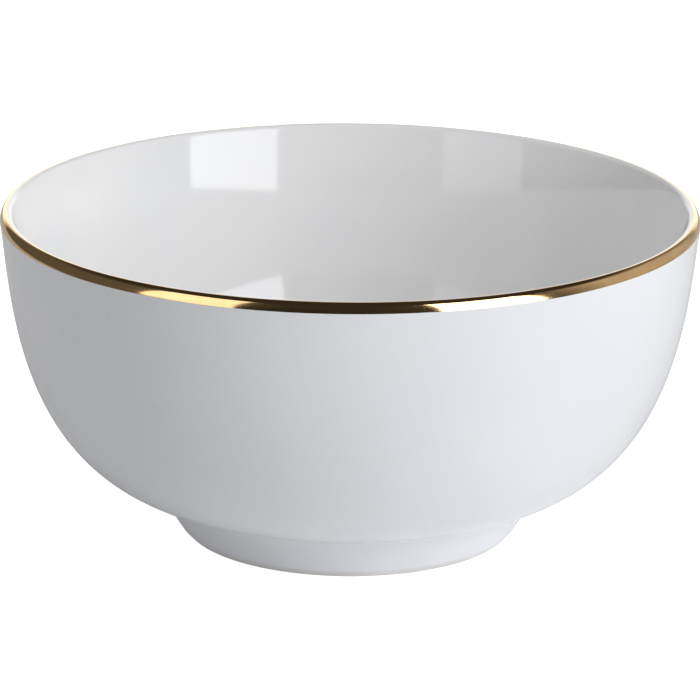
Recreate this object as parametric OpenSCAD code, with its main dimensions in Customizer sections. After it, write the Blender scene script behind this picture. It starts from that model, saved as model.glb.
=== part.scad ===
// Round porcelain serving bowl on a coved foot ring, glazed inside and out and gilded round the lip.
// Millimetres. The origin is on the table under the bowl's centre, and +Z is up.
// Every piece is turned about the Z axis from an outline of [radius, height] points.

/* [Bowl] */
// Diameter of the rim over the glaze, without the gilding
rim_d = 200; // [165:1:260]
// Height from the table to the top of the lip over the glaze
bowl_h = 95.5; // [75:0.5:130]
// Thickness of the finished wall at the lip
lip_t = 3.7; // [2.4:0.1:6]
// Radius of the gently curved face that slopes out and down from the rounded lip
face_r = 5.6; // [3:0.1:8]
// How far that face leans in from plumb at its top edge
face_top = 31; // [20:1:50]
// How far it leans in from plumb at its lower edge
face_foot = 10; // [0:1:18]
// Thickness of the finished wall where it meets the foot
base_t = 4.8; // [3:0.1:8]
// Thickness of the finished floor at its centre
floor_t = 5.2; // [3:0.1:8]

/* [Wall curve] */
// Angle above level at which the wall springs from the foot, outside and inside
spring_angle = 16.5; // [8:0.5:30]
// Angle above level of the outside just below the lip's face
lip_angle = 82.4; // [70:0.2:89]
// Fullness of the belly outside, as a share of the wall's reach from foot to lip
belly_fullness = 0.96; // [0.75:0.01:1.1]
// Straightness of the upper wall outside, as a share of the wall's height
upper_straightness = 0.24; // [0.1:0.01:0.5]
// Angle above level of the inside at the lip, which thins the wall as it nears the lip
inner_lip_angle = 70; // [60:0.2:89]
// Fullness of the belly inside, as a share of the wall's reach from floor to lip
inner_fullness = 0.97; // [0.6:0.01:1.1]
// Straightness of the upper wall inside, as a share of the wall's height
inner_straightness = 0.4; // [0.1:0.01:0.5]
// Share of the floor's radius that lies almost level
level_floor = 0.7; // [0.4:0.01:0.9]

/* [Foot ring] */
// Diameter of the crease where the foot ring meets the bowl
crease_d = 115.6; // [108:0.2:140]
// Height of that crease above the table
crease_h = 13.6; // [10:0.1:22]
// Outer diameter of the flat that stands on the table
stand_d = 92.6; // [74:0.2:97]
// Width of the flat that stands on the table
stand_w = 2.4; // [1.2:0.1:6]
// Rounding of the outer and inner edges of that flat
stand_edge_r = 1.4; // [0.6:0.1:2]
// Angle above level of the foot's outer side near the table
foot_lean = 54; // [48:1:80]
// Angle above level of the foot's outer side at the crease
cove_angle = 36; // [30:1:60]
// Draft of the foot's inner side, from plumb
foot_draft = 6; // [0:0.5:12]

/* [Glaze and gilding] */
// Thickness of the fired glaze
glaze_t = 0.25; // [0.1:0.01:0.5]
// Height above the table at which the glaze stops, on both sides of the foot
glaze_line = 1.8; // [1.6:0.1:4]
// Thickness at which the gilding is drawn
gilding_t = 0.1; // [0.05:0.01:0.2]

/* [Hidden] */
$fn = 180;

WALL_STEPS = 30;
FLOOR_STEPS = 12;
COVE_STEPS = 8;
LIP_STEPS = 8;
FACE_STEPS = 4;
EDGE_STEPS = 5;
HANDLE = 0.4;

// Along a slope of a degrees above level, and square to it on the side of the clay
function along(a) = [cos(a), sin(a)];
function clayward(a) = [-sin(a), cos(a)];

// Point and slope at share t of a cubic curve with the four control points p
function curve_at(p, t) = pow(1 - t, 3) * p[0] + 3 * pow(1 - t, 2) * t * p[1]
    + 3 * (1 - t) * t * t * p[2] + pow(t, 3) * p[3];
function curve_dir(p, t) = pow(1 - t, 2) * (p[1] - p[0]) + 2 * (1 - t) * t * (p[2] - p[1])
    + t * t * (p[3] - p[2]);
function curve_slope(p, t) = let(d = curve_dir(p, t)) atan2(d[1], d[0]);

// Corner of a coat whose two sides face n1 and n2, moved out by its thickness
function coat_corner(p, n1, n2, thick) = p + thick * (n1 + n2) / (1 + n1 * n2);

// Where the line from p towards u meets the line from q towards v
function meeting(p, u, q, v) = p + u * ((q - p)[0] * v[1] - (q - p)[1] * v[0]) / (u[0] * v[1] - u[1] * v[0]);

// Points of a circle from angle a0 to angle a1, with or without the first
function arc(centre, r, a0, a1, steps, first = 0) =
    [for (i = [first:steps]) centre + r * along(a0 + (a1 - a0) * i / steps)];
function reversed(points) = [for (i = [len(points) - 1:-1:0]) points[i]];

// Lip: rounded over its top, then a face whose lower edge is the widest part of the bowl
lip_r = (lip_t - face_r * (cos(face_foot) - cos(face_top))) / (1 + cos(face_top));
lip_centre = [rim_d / 2 - lip_t + lip_r, bowl_h - lip_r];
face_centre = lip_centre - (face_r - lip_r) * along(face_top);
wall_end = face_centre + face_r * along(face_foot);

// Outside of the wall, from the crease up to the lip's face
crease = [crease_d / 2, crease_h];
wall_curve = [
    crease,
    crease + belly_fullness * (wall_end[0] - crease[0]) * along(spring_angle),
    wall_end - upper_straightness * (wall_end[1] - crease[1]) * along(lip_angle),
    wall_end];

// Inside of the wall, from the floor's edge up to the lip
floor_edge = crease + base_t * clayward(spring_angle);
inner_end = lip_centre + lip_r * clayward(inner_lip_angle);
inner_curve = [
    floor_edge,
    floor_edge + inner_fullness * (inner_end[0] - floor_edge[0]) * along(spring_angle),
    inner_end - inner_straightness * (inner_end[1] - floor_edge[1]) * along(inner_lip_angle),
    inner_end];

// Floor, from its edge in to the centre
floor_turn = floor_edge - (1 - level_floor) * floor_edge[0] * along(spring_angle);
floor_curve = [floor_edge, floor_turn, [floor_turn[0] * level_floor, floor_turn[1]], [0, floor_turn[1]]];
floor_h = floor_turn[1];

// Flat that stands on the table, with its rounded edges
stand_outer = [stand_d / 2, stand_edge_r];
stand_inner = [stand_d / 2 - stand_w, stand_edge_r];
side_start = stand_outer - stand_edge_r * clayward(foot_lean);
side_glaze_start = meeting(side_start, along(foot_lean), [0, glaze_line], [1, 0]);
inner_side_dir = [-sin(foot_draft), cos(foot_draft)];
inner_side_face = [-cos(foot_draft), -sin(foot_draft)];
inner_start = stand_inner + stand_edge_r * inner_side_face;
inner_glaze_start = meeting(inner_start, inner_side_dir, [0, glaze_line], [1, 0]);

// Coved outer side of the foot over the glaze, from the glaze line up to the crease
cove_start = side_glaze_start - glaze_t * clayward(foot_lean);
cove_chord = norm(crease - cove_start);
cove_curve = [
    cove_start,
    cove_start + HANDLE * cove_chord * along(foot_lean),
    crease - HANDLE * cove_chord * along(cove_angle),
    crease];

// Bare clay at the crease, and where the foot's inner side meets the bowl's underside
clay_crease = coat_corner(crease, clayward(spring_angle), clayward(cove_angle), glaze_t);
foot_root = meeting(clay_crease, along(spring_angle), inner_start, inner_side_dir);

// Underside of the bowl inside the foot, bare, from the foot in to the centre
ceiling_h = floor_h - floor_t + glaze_t;
ceiling_curve = [
    foot_root,
    [foot_root[0] * (1 - HANDLE), foot_root[1]],
    [foot_root[0] * HANDLE, ceiling_h],
    [0, ceiling_h]];
ceiling_corner = coat_corner(foot_root, inner_side_face, [0, -1], glaze_t);

// Lines up the wall at a depth under its glazed surface: outside, from the crease to the corner
// under the lip's face, and inside, from the floor's edge to the lip, short of the lip's own points
function outer_line(depth) = concat(
    [for (i = [0:WALL_STEPS - 1]) let(t = i / WALL_STEPS)
        curve_at(wall_curve, t) + depth * clayward(curve_slope(wall_curve, t))],
    [coat_corner(wall_end, clayward(lip_angle), -along(face_foot), depth)]);
function inner_line(depth) = [
    for (i = [0:WALL_STEPS - 1]) let(t = i / WALL_STEPS)
        curve_at(inner_curve, t) - depth * clayward(curve_slope(inner_curve, t))];

// Halves of the lip at a height over the glaze: outside, from just above the face's lower edge up
// to the top, and inside, on down from the top
function lip_outside(height) = concat(
    arc(face_centre, face_r + height, face_foot, face_top, FACE_STEPS, 1),
    arc(lip_centre, lip_r + height, face_top, 90, LIP_STEPS, 1));
function lip_inside(height) = arc(lip_centre, lip_r + height, 90, inner_lip_angle + 90, LIP_STEPS);

// Floor from the inner wall in to the centre, lowered into the clay by depth
function floor_line(depth) = [
    for (i = [1:FLOOR_STEPS]) let(t = i / FLOOR_STEPS, a = curve_slope(floor_curve, t) + 180)
        curve_at(floor_curve, t) - depth * clayward(a)];

// Outer side of the foot from the crease down to the glaze line, at depth under the glaze
function cove_line(depth) = [
    for (i = [COVE_STEPS:-1:0]) let(t = i / COVE_STEPS)
        curve_at(cove_curve, t) + depth * clayward(curve_slope(cove_curve, t))];

// Underside of the bowl inside the foot, short of the foot itself, with a coat hung below it
function ceiling_line(coat) = [
    for (i = [1:FLOOR_STEPS]) let(t = i / FLOOR_STEPS, a = curve_slope(ceiling_curve, t) + 180)
        curve_at(ceiling_curve, t) - coat * clayward(a)];

// Unglazed clay of the wall and floor, down to the crease and the foot's root
module bowl_body() {
    outline = concat(
        lip_outside(-glaze_t),
        lip_inside(-glaze_t),
        reversed(inner_line(glaze_t)),
        floor_line(glaze_t),
        reversed(ceiling_line(0)),
        [foot_root, clay_crease],
        outer_line(glaze_t));
    color("ivory")
        rotate_extrude() polygon(outline);
}

// Unglazed clay ring fixed under the bowl, standing on its bare flat
module foot_ring() {
    outline = concat(
        [clay_crease],
        cove_line(glaze_t),
        arc(stand_outer, stand_edge_r, foot_lean - 90, -90, EDGE_STEPS),
        arc(stand_inner, stand_edge_r, -90, foot_draft - 180, EDGE_STEPS),
        [foot_root]);
    color("linen")
        rotate_extrude() polygon(outline);
}

// Glaze over the floor, the inner wall and the inner half of the lip
module liner_glaze() {
    outline = concat(
        lip_inside(0),
        reversed(inner_line(0)),
        floor_line(0),
        reversed(floor_line(glaze_t)),
        inner_line(glaze_t),
        reversed(lip_inside(-glaze_t)));
    color("white")
        rotate_extrude() polygon(outline);
}

// Glaze over the outer half of the lip, the outer wall and the foot's outer side
module outside_glaze() {
    outline = concat(
        reversed(lip_outside(0)),
        reversed(outer_line(0)),
        cove_line(0),
        reversed(cove_line(glaze_t)),
        [clay_crease],
        outer_line(glaze_t),
        lip_outside(-glaze_t));
    color("whitesmoke")
        rotate_extrude() polygon(outline);
}

// Glaze over the foot's inner side and the underside that it rings
module base_glaze() {
    outline = concat(
        [inner_glaze_start, foot_root],
        ceiling_line(0),
        reversed(ceiling_line(glaze_t)),
        [ceiling_corner, inner_glaze_start + glaze_t * inner_side_face]);
    color("ghostwhite")
        rotate_extrude() polygon(outline);
}

// Burnished gold band over the glaze, from the top of the lip down its face
module rim_gilding() {
    outline = concat(
        reversed(lip_outside(gilding_t)),
        [wall_end + gilding_t * along(face_foot), wall_end],
        lip_outside(0));
    color("goldenrod")
        rotate_extrude() polygon(outline);
}

bowl_body();
foot_ring();
liner_glaze();
outside_glaze();
base_glaze();
rim_gilding();
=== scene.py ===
from math import cos, hypot, pi, radians, sin

import bmesh
import bpy
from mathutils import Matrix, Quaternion, Vector


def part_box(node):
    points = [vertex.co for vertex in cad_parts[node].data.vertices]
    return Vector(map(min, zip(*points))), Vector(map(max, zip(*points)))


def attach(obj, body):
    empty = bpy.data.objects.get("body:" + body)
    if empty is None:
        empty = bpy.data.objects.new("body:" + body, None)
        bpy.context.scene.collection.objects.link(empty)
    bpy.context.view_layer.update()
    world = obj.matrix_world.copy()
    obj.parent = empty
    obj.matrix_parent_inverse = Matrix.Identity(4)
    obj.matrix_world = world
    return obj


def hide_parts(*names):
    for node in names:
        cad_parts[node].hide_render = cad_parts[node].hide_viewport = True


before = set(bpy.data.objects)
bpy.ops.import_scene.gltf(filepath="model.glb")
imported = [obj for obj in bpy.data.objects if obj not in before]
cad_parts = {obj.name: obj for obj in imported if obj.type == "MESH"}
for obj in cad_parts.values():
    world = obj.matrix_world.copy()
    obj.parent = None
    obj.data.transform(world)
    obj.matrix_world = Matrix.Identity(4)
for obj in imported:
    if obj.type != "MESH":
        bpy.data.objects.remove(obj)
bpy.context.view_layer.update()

MM = 0.001

# ---- Clay body -------------------------------------------------------------------------------
# The wall and floor of the bowl, one piece of white porcelain clay, turned on a wheel and bisque
# fired before it is glazed. Every outline below is [radius, height], turned about the Z axis.

bowl_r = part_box("outside_glaze")[1].x
bowl_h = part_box("outside_glaze")[1].z
crease_r = 57.8 * MM
crease_h = 13.6 * MM
spring = radians(16.5)
base_t = 4.8 * MM
floor_t = 5.2 * MM
glaze_t = 0.25 * MM

# The walls' fullness near the foot, and their straightness near the lip, as shares of their reach
belly = 0.96
straight = 0.24
inner_belly = 0.97
inner_straight = 0.4
level_floor = 0.7


def along(angle):
    """One step along a slope."""
    return Vector((cos(angle), sin(angle)))


def left_of(way):
    """One step square to a direction, on its left."""
    return Vector((-way.y, way.x)).normalized()


def meeting(point, way, other, other_way):
    """Where two lines cross, each given by a point and its direction."""
    return point + way * ((other - point).cross(other_way) / way.cross(other_way))


def corner(point, side, other_side, depth):
    """The point at a depth from both sides of a corner."""
    return point + depth * (side + other_side) / (1 + side.dot(other_side))


def curve(handles, steps, lift=0.0):
    """Points down a cubic curve, lifted off it to its left."""
    start, leaving, arriving, end = handles
    points = []
    for i in range(steps + 1):
        t = i / steps
        s = 1 - t
        point = s**3 * start + 3 * s * s * t * leaving + 3 * s * t * t * arriving + t**3 * end
        way = s * s * (leaving - start) + 2 * s * t * (arriving - leaving) + t * t * (end - arriving)
        points.append(point + lift * left_of(way))
    return points


def arc(centre, radius, start, end, steps):
    """Points round part of a circle."""
    return [centre + radius * along(start + (end - start) * i / steps) for i in range(steps + 1)]


# Lip: rounded over its top, then a face that slopes out and down to the widest part of the bowl
lip_t = 3.7 * MM
face_r = 5.6 * MM
face_top = radians(31)
face_foot = radians(10)
lip_r = (lip_t - face_r * (cos(face_foot) - cos(face_top))) / (1 + cos(face_top))
lip_centre = Vector((bowl_r - lip_t + lip_r, bowl_h - lip_r))
face_centre = lip_centre - (face_r - lip_r) * along(face_top)
lip_slope = radians(82.4)
inner_lip_slope = radians(70)
lip_top = radians(90)
wall_top = face_centre + face_r * along(face_foot)


def lip_outside(height=0.0):
    """Outer half of the lip at a height over the glaze, from the face's lower edge to the top."""
    face = arc(face_centre, face_r + height, face_foot, face_top, 6)
    return face + arc(lip_centre, lip_r + height, face_top, lip_top, 12)[1:]


def lip_inside(height=0.0):
    """Inner half of the lip, from its top down to the inner wall."""
    return arc(lip_centre, lip_r + height, lip_top, inner_lip_slope + pi / 2, 12)


# Outside of the wall, from the crease up to the lip's face
crease = Vector((crease_r, crease_h))
outer_wall = (
    crease,
    crease + belly * (wall_top.x - crease.x) * along(spring),
    wall_top - straight * (wall_top.y - crease.y) * along(lip_slope),
    wall_top,
)

# Inside of the wall, from the floor's edge up to the lip, and the floor in to the centre
floor_edge = crease + base_t * along(spring + pi / 2)
inner_top = lip_centre + lip_r * along(inner_lip_slope + pi / 2)
inner_wall = (
    floor_edge,
    floor_edge + inner_belly * (inner_top.x - floor_edge.x) * along(spring),
    inner_top - inner_straight * (inner_top.y - floor_edge.y) * along(inner_lip_slope),
    inner_top,
)
floor_turn = floor_edge - (1 - level_floor) * floor_edge.x * along(spring)
floor_centre = Vector((0, floor_turn.y))
floor = (floor_edge, floor_turn, Vector((floor_turn.x * level_floor, floor_turn.y)), floor_centre)

# Where the body meets the foot ring: at the crease outside, and at the top of the ring's inner
# side, which rises with a little draft from the flat that the bowl stands on
stand_edge_r = 1.4 * MM
stand_outer = Vector((46.3 * MM, stand_edge_r))
stand_inner = stand_outer - Vector((2.4 * MM, 0))
foot_draft = radians(6)
inner_face = along(foot_draft + pi)
inner_start = stand_inner + stand_edge_r * inner_face
inner_way = along(foot_draft + pi / 2)
cove_slope = radians(36)
clay_crease = corner(crease, along(spring + pi / 2), along(cove_slope + pi / 2), glaze_t)
clay_corner = corner(wall_top, along(lip_slope + pi / 2), -along(face_foot), glaze_t)
foot_root = meeting(clay_crease, along(spring), inner_start, inner_way)

# Underside inside the foot, from the foot's root in to the centre
handle = 0.4
ceiling_h = floor_centre.y - floor_t + glaze_t
ceiling = (
    foot_root,
    Vector((foot_root.x * (1 - handle), foot_root.y)),
    Vector((foot_root.x * handle, ceiling_h)),
    Vector((0, ceiling_h)),
)


def backwards(points):
    return points[::-1]


near = 0.01 * MM
merge_within = 0.002 * MM
sharp = radians(25)
seen_around = 320
hidden_around = 160


def on_ring(place, point):
    """Whether a vertex lies on the ring that a point of an outline is turned into."""
    return hypot(hypot(place.x, place.y) - point.x, place.z - point.y) < near


def turned(name, outline, around=seen_around, rounded=()):
    """Turns an outline into a closed solid. Corners given as (point, size) are rounded."""
    shape = bmesh.new()
    points = [shape.verts.new((p.x, 0, p.y)) for p in outline]
    sides = zip(points, points[1:] + points[:1])
    lines = [shape.edges.new((a, b)) for a, b in sides if a.co.x + b.co.x > near]
    bmesh.ops.spin(
        shape, geom=points + lines, axis=(0, 0, 1), cent=(0, 0, 0),
        angle=2 * pi, steps=around, use_merge=True,
    )
    bmesh.ops.remove_doubles(shape, verts=shape.verts, dist=merge_within)
    for point, size in rounded:
        ring = [edge for edge in shape.edges if all(on_ring(v.co, point) for v in edge.verts)]
        bmesh.ops.bevel(
            shape, geom=ring, offset=size, affect="EDGES", segments=5, profile=0.5, material=-1
        )
    bmesh.ops.recalc_face_normals(shape, faces=shape.faces)
    for face in shape.faces:
        face.smooth = True
    for edge in shape.edges:
        edge.smooth = edge.calc_face_angle(0) < sharp
    mesh = bpy.data.meshes.new(name)
    shape.to_mesh(mesh)
    shape.free()
    piece = bpy.data.objects.new(name, mesh)
    bpy.context.scene.collection.objects.link(piece)
    return piece


class Shade:
    """One socket of a material's nodes. Python's operators on it add Math nodes."""

    def __init__(self, tree, socket=None):
        self.tree = tree
        self.socket = socket

    def add(self, kind, settings=None, inputs=None, out=0):
        """Any other node: its type, its settings, its sockets' values or links, and the output."""
        node = self.tree.nodes.new("ShaderNode" + kind)
        for setting, value in (settings or {}).items():
            setattr(node, setting, value)
        for name, value in (inputs or {}).items():
            if isinstance(value, Shade):
                self.tree.links.new(value.socket, node.inputs[name])
            else:
                node.inputs[name].default_value = value
        return None if out is None else Shade(self.tree, node.outputs[out])

    def maths(self, operation, first, second=0.0, clamp=False):
        settings = {"operation": operation, "use_clamp": clamp}
        return self.add("Math", settings, {0: first, 1: second})

    def __add__(self, other):
        return self.maths("ADD", self, other)

    def __sub__(self, other):
        return self.maths("SUBTRACT", self, other)

    def __rsub__(self, other):
        return self.maths("SUBTRACT", other, self)

    def __mul__(self, other):
        return self.maths("MULTIPLY", self, other)

    __radd__ = __add__
    __rmul__ = __mul__

    def between(self, low, high):
        """0 below low, 1 above high, and even in between."""
        return self.maths("MULTIPLY", self - low, 1 / (high - low), clamp=True)

    def place(self):
        return self.add("TexCoord", out="Object")

    def noise(self, scale, detail=2.0, where=None):
        inputs = {"Vector": where or self.place(), "Scale": scale, "Detail": detail}
        return self.add("TexNoise", None, inputs, out="Fac")

    def stretched(self, x, y, z):
        inputs = {"Vector": self.place(), "Scale": (x, y, z)}
        return self.add("Mapping", None, inputs, out="Vector")

    def mix(self, share, first, second):
        inputs = {0: share, 6: first, 7: second}
        return self.add("Mix", {"data_type": "RGBA"}, inputs, out=2)

    def bump(self, height, depth, under=None):
        inputs = {"Height": height, "Distance": depth, "Strength": 1.0}
        if under:
            inputs["Normal"] = under
        return self.add("Bump", None, inputs, out="Normal")


def new_material(name):
    """An empty material, with the Shade that its nodes start from."""
    material = bpy.data.materials.new(name)
    material.use_nodes = True
    material.node_tree.nodes.clear()
    return material, Shade(material.node_tree)


def surface(shade, **inputs):
    """The material's one Principled shader: its sockets' names are written with underscores."""
    sockets = {name.replace("_", " "): value for name, value in inputs.items()}
    finish = shade.add("BsdfPrincipled", None, sockets, out="BSDF")
    shade.add("OutputMaterial", None, {"Surface": finish}, out=None)


iron_grain = (0.45, 0.38, 0.30, 1)
rub_grey = (0.50, 0.49, 0.47, 1)
grain_depth = 0.03 * MM


def bare_clay(name, tint, handled):
    """Bisque porcelain: fine dry grain, a few dark grains, and rub marks where it is handled."""
    material, shade = new_material(name)
    grain = shade.noise(2600, 4)
    cloud = shade.noise(70, 3)
    iron = shade.noise(1500, 1).between(0.70, 0.78) * 0.35
    rubs = shade.noise(400, 6, shade.stretched(1, 1, 6)).between(0.48, 0.72) * handled
    pale = tuple(min(1, c * 1.03) for c in tint) + (1,)
    deep = tuple(c * 0.9 for c in tint) + (1,)
    colour = shade.mix(cloud.between(0.3, 0.7), pale, deep)
    colour = shade.mix(iron, colour, iron_grain)
    colour = shade.mix(rubs, colour, rub_grey)
    surface(
        shade,
        Base_Color=colour,
        Roughness=0.62 + grain * 0.3,
        Normal=shade.bump(grain + rubs * 0.5, grain_depth),
    )
    return material


def finish(piece, material, node):
    """Gives a piece its material, hides the CAD node that it stands in for, and fixes it to the
    bowl.
    """
    piece.data.materials.append(material)
    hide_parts(node)
    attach(piece, "root")


clay = turned(
    "clay_body",
    backwards(curve(floor, 16, glaze_t))
    + curve(inner_wall, 32, -glaze_t)[1:]
    + backwards(lip_inside(-glaze_t))[1:]
    + backwards(lip_outside(-glaze_t))[1:-1]
    + [clay_corner]
    + backwards(curve(outer_wall, 32, glaze_t))[1:-1]
    + [clay_crease]
    + curve(ceiling, 16),
    around=hidden_around,
)
clay_cream = (0.86, 0.84, 0.80)
finish(clay, bare_clay("bisque_clay", clay_cream, handled=0.0), "bowl_body")


# ---- Foot ring -------------------------------------------------------------------------------
# The ring that the bowl stands on, of the same clay, luted under the body and turned to a cove
# outside. Its flat is wiped clean of glaze before the firing, so that bare clay meets the table.

foot_lean = radians(54)
side_start = stand_outer + stand_edge_r * along(foot_lean - pi / 2)
glaze_line = Vector((0, 1.8 * MM))
level = Vector((1, 0))
glaze_end = meeting(side_start, along(foot_lean), glaze_line, level)
cove_start = glaze_end + glaze_t * along(foot_lean - pi / 2)
cove_handle = handle * (crease - cove_start).length
cove = (
    cove_start,
    cove_start + cove_handle * along(foot_lean),
    crease - cove_handle * along(cove_slope),
    crease,
)

foot = turned(
    "foot_ring_clay",
    [clay_crease]
    + backwards(curve(cove, 16, glaze_t))[1:]
    + arc(stand_outer, stand_edge_r, foot_lean - pi / 2, -pi / 2, 8)
    + arc(stand_inner, stand_edge_r, -pi / 2, foot_draft - pi, 8)
    + [foot_root],
)
foot_cream = (0.83, 0.815, 0.785)
finish(foot, bare_clay("bare_foot", foot_cream, handled=0.35), "foot_ring")


# ---- Liner glaze -----------------------------------------------------------------------------
# The clear gloss glaze over the floor, the inner wall and the inner half of the lip, poured in
# and swirled, then fired until it flows. It mirrors the room, a little unevenly.

iron_speck = (0.26, 0.20, 0.15, 1)
pooled_share = (0.972, 0.978, 0.982)
wave_depth = 0.012 * MM
peel_depth = 0.0005 * MM


def glaze(name, tint):
    """White porcelain seen through gloss glaze: faint clouding, slow waves and a few specks."""
    material, shade = new_material(name)
    cloud = shade.noise(26, 3).between(0.35, 0.65)
    thin = tint + (1,)
    pooled = tuple(c * share for c, share in zip(tint, pooled_share)) + (1,)
    cells = {"Vector": shade.place(), "Scale": 150, "Randomness": 1.0}
    nearness = shade.add("TexVoronoi", {"feature": "F1"}, cells, out="Distance")
    chosen = shade.noise(45, 0).between(0.56, 0.60)
    specks = (1 - nearness.between(0.018, 0.032)) * chosen
    colour = shade.mix(specks * 0.6, shade.mix(cloud, thin, pooled), iron_speck)
    waves = shade.noise(70, 1)
    peel = shade.noise(650, 2)
    surface(
        shade,
        Base_Color=colour,
        Roughness=0.045 + shade.noise(14, 3) * 0.05,
        IOR=1.5,
        Normal=shade.bump(peel, peel_depth, shade.bump(waves, wave_depth)),
    )
    return material


liner = turned(
    "liner_glaze_coat",
    lip_inside()
    + backwards(curve(inner_wall, 72))[1:]
    + curve(floor, 28)[1:]
    + backwards(curve(floor, 12, glaze_t))
    + curve(inner_wall, 32, -glaze_t)[1:]
    + backwards(lip_inside(-glaze_t))[1:],
)
# The liner's white is paler than the outside glaze's: a lighter copy of the same glaze, painted
# light that brightens the inside of the bowl.
liner_lit_white = (0.905, 0.90, 0.90)
finish(liner, glaze("liner_gloss", liner_lit_white), "liner_glaze")


# ---- Outside glaze ---------------------------------------------------------------------------
# The same glaze over the outer half of the lip, the outer wall and the foot's outer side, dipped.
# It fills the crease over the foot a little, and ends in a soft roll above the standing flat.

crease_fill = 1.1 * MM
lip_corner = 0.25 * MM
glaze_roll = 0.12 * MM

outside = turned(
    "outside_glaze_coat",
    backwards(lip_outside())
    + backwards(curve(outer_wall, 72))[1:]
    + backwards(curve(cove, 14))[1:]
    + curve(cove, 12, glaze_t)[:-1]
    + [clay_crease]
    + curve(outer_wall, 32, glaze_t)[1:-1]
    + [clay_corner]
    + lip_outside(-glaze_t)[1:],
    rounded=((crease, crease_fill), (wall_top, lip_corner), (cove_start, glaze_roll)),
)
# The outside's white is greyer and bluer than the liner's: a cool cast of light painted into the
# same glaze.
outside_cool_cast_white = (0.838, 0.844, 0.870)
finish(outside, glaze("outside_gloss", outside_cool_cast_white), "outside_glaze")


# ---- Base glaze ------------------------------------------------------------------------------
# The same glaze over the foot's inner side and the underside that it rings. It pools in the
# corner between them, and stops short of the standing flat as on the outside.

base_glaze_start = meeting(inner_start, inner_way, glaze_line, level)
base_glaze_end = base_glaze_start + glaze_t * inner_face
pooled_corner = corner(foot_root, inner_face, -along(pi / 2), glaze_t)
pool = 1.0 * MM

base = turned(
    "base_glaze_coat",
    [base_glaze_start]
    + curve(ceiling, 24)
    + backwards(curve(ceiling, 24, glaze_t))[:-1]
    + [pooled_corner, base_glaze_end],
    rounded=((pooled_corner, pool), (base_glaze_end, glaze_roll)),
)
base_white = (0.85, 0.85, 0.85)
finish(base, glaze("base_gloss", base_white), "base_glaze")


# ---- Gilding ---------------------------------------------------------------------------------
# A thin band of gold on the face of the lip, laid on with a brush while the bowl turned, fired
# over the glaze and burnished. It is far too thin for its edges to be felt.

gilding_t = 0.03 * MM
bright_gold = (0.94, 0.62, 0.30, 1)
deep_gold = (0.88, 0.56, 0.26, 1)
hair_depth = 0.0015 * MM
dimple_depth = 0.004 * MM


def burnished_gold(name):
    """Mirror-bright gold with the fine hair lines that brush and burnisher leave round the lip."""
    material, shade = new_material(name)
    hairs = shade.noise(1, 3, shade.stretched(70, 70, 9000))
    patches = shade.noise(160, 3).between(0.35, 0.65)
    dimples = shade.noise(240, 2)
    surface(
        shade,
        Base_Color=shade.mix(patches, bright_gold, deep_gold),
        Metallic=1.0,
        Roughness=0.05 + hairs.between(0.4, 0.75) * 0.10 + patches * 0.02,
        Normal=shade.bump(hairs, hair_depth, shade.bump(dimples, dimple_depth)),
    )
    return material


gilding = turned("gold_band", backwards(lip_outside()) + lip_outside(gilding_t))
finish(gilding, burnished_gold("burnished_gold"), "rim_gilding")


# ---- Studio ----------------------------------------------------------------------------------
# The bowl stands on a white sweep between two tall soft boxes, a strong one in front to its
# right and a weaker one in front to its left, in a dim room.

scene = bpy.context.scene
scene.view_settings.view_transform = "Standard"

sweep_r = 4.0
sweep_drop = 0.02 * MM
chalk_white = (0.8, 0.8, 0.8, 1)
lamp_white = (0.97, 0.98, 1, 1)

sweep = bmesh.new()
bmesh.ops.create_circle(sweep, cap_ends=True, segments=96, radius=sweep_r)
bmesh.ops.translate(sweep, verts=sweep.verts, vec=(0, 0, -sweep_drop))
sweep_mesh = bpy.data.meshes.new("sweep")
sweep.to_mesh(sweep_mesh)
sweep.free()
table = bpy.data.objects.new("sweep", sweep_mesh)
scene.collection.objects.link(table)
sweep_paint, shade = new_material("sweep_paint")
seen = shade.add("LightPath", out="Is Camera Ray")
# The sweep glows in a round spot in front of the bowl and to its right: painted light that brightens
# the foot from below. Where the camera sees the sweep, it glows evenly white.
spot = {0: shade.place(), 1: (0.04, -0.045, 0)}
distance = shade.add("VectorMath", {"operation": "DISTANCE"}, spot, out="Value")
light_spot = (1 - distance.between(0.03, 0.12)) * 0.24
glow = {"Color": lamp_white, "Strength": light_spot + seen * (0.85 - light_spot)}
glow = shade.add("Emission", None, glow, out="Emission")
chalk = shade.add("BsdfDiffuse", None, {"Color": chalk_white}, out="BSDF")
paint = shade.add("AddShader", None, {0: chalk, 1: glow}, out="Shader")
shade.add("OutputMaterial", None, {"Surface": paint}, out=None)
table.data.materials.append(sweep_paint)

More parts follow.
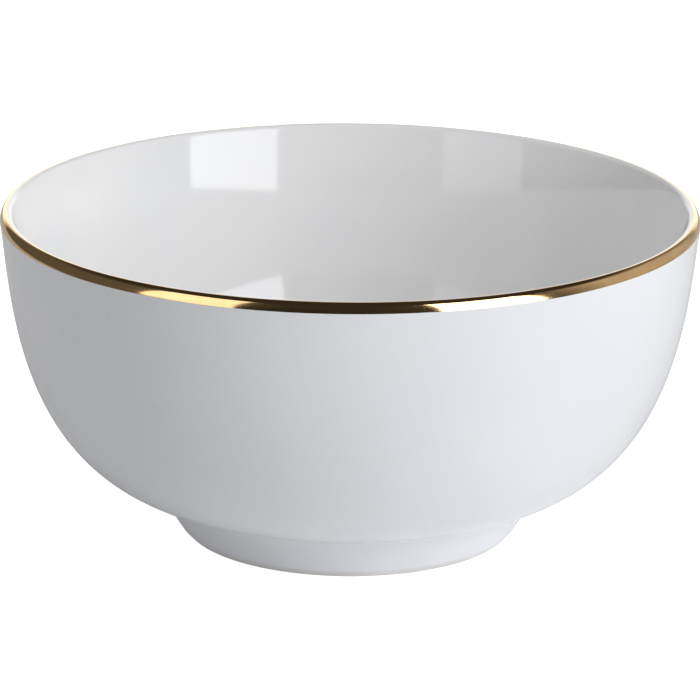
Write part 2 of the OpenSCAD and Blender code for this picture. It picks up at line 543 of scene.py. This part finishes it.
# The room is dark in front of the bowl and softly lit beside, above and behind it. What mirrors it
# sees less: a dim left side, a paler right side, a dark ceiling and the bright back of the sweep.
room = bpy.data.worlds.new("room")
scene.world = room
room.use_nodes = True
room.node_tree.nodes.clear()
shade = Shade(room.node_tree)
way = shade.add("TexCoord", out="Generated")
to_right, to_back, up = (shade.add("SeparateXYZ", None, {0: way}, out=i) for i in range(3))
open_side = to_back.between(-0.85, -0.40)
soft_light = 0.03 + open_side * (1 - up * 0.22) * 0.65
low = 1 - up.between(0.5, 0.7)
right_side = to_right.between(0.3, 0.7) * to_back.between(-0.30, 0.05)
sweep_back = to_back.between(0.86, 0.94) * 1.4
mirrored = 0.03 + open_side * low * (0.07 + right_side * 0.40) + sweep_back
glossy = shade.add("LightPath", out="Is Glossy Ray")
seen = shade.add("LightPath", out="Is Camera Ray")
strength = soft_light + glossy * (mirrored - soft_light)
sky = {"Color": (1, 1, 1, 1), "Strength": strength + seen * (1 - strength)}
sky = shade.add("Background", None, sky, out="Background")
shade.add("OutputWorld", None, {"Surface": sky}, out=None)

box_away = 1.0
box_bottom = 0.16
box_white = (0.975, 0.985, 1)


def soft_box(name, turn, width, top, watts, lights_clay):
    """A tall upright soft box, turned about the bowl from the front, facing it."""
    lamp = bpy.data.lights.new(name, "AREA")
    lamp.shape = "RECTANGLE"
    lamp.size = width
    lamp.size_y = top - box_bottom
    lamp.energy = watts
    lamp.color = box_white
    box = bpy.data.objects.new(name, lamp)
    box.location = (box_away * sin(turn), -box_away * cos(turn), (top + box_bottom) / 2)
    box.rotation_euler = (pi / 2, 0, turn)
    box.visible_camera = False
    box.visible_diffuse = lights_clay
    scene.collection.objects.link(box)


# The weaker box only shows in what mirrors it, as the room's soft light already covers its side
soft_box("key_box", radians(45), width=0.62, top=1.10, watts=8.6, lights_clay=True)
soft_box("fill_box", radians(-51), width=0.57, top=1.06, watts=2.35, lights_clay=False)

camera_data = bpy.data.cameras.new("camera")
camera_data.lens = 249.4
camera_data.shift_x = 0.0012
camera_data.shift_y = 0.0237
camera = bpy.data.objects.new("camera", camera_data)
camera_away = 1.4
camera_height = radians(16.952)
camera_roll = radians(0.424)
bowl_middle = Vector((0, 0, bowl_h / 2))
camera.location = bowl_middle + camera_away * Vector((0, -cos(camera_height), sin(camera_height)))
aim = (bowl_middle - camera.location).to_track_quat("-Z", "Y")
camera.rotation_mode = "QUATERNION"
camera.rotation_quaternion = aim @ Quaternion((0, 0, 1), camera_roll)
scene.collection.objects.link(camera)
scene.camera = camera
